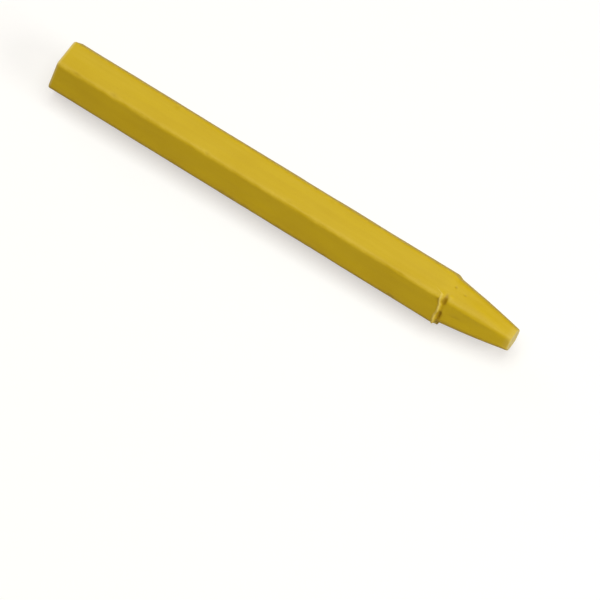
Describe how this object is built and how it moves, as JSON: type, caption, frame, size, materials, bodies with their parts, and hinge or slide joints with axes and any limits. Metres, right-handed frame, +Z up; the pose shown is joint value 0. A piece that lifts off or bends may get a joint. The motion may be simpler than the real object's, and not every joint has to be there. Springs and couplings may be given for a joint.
{
  "type": "chalk stick",
  "caption": "Hexagonal marking chalk stick with rounded long edges, a lipped shoulder and a blunt six-sided tapered tip.",
  "frame": {"origin": "on the surface that the stick lies on, under the middle of its length", "axes": "+X along the stick's length towards its tip, +Z up, out of the flat opposite the one it lies on"},
  "size_m": [0.12, 0.0134, 0.012],
  "materials": {
    "chalk": "matte"
  },
  "bodies": {
    "root": {"chalk_stick": "chalk"}
  },
  "joints": []
}
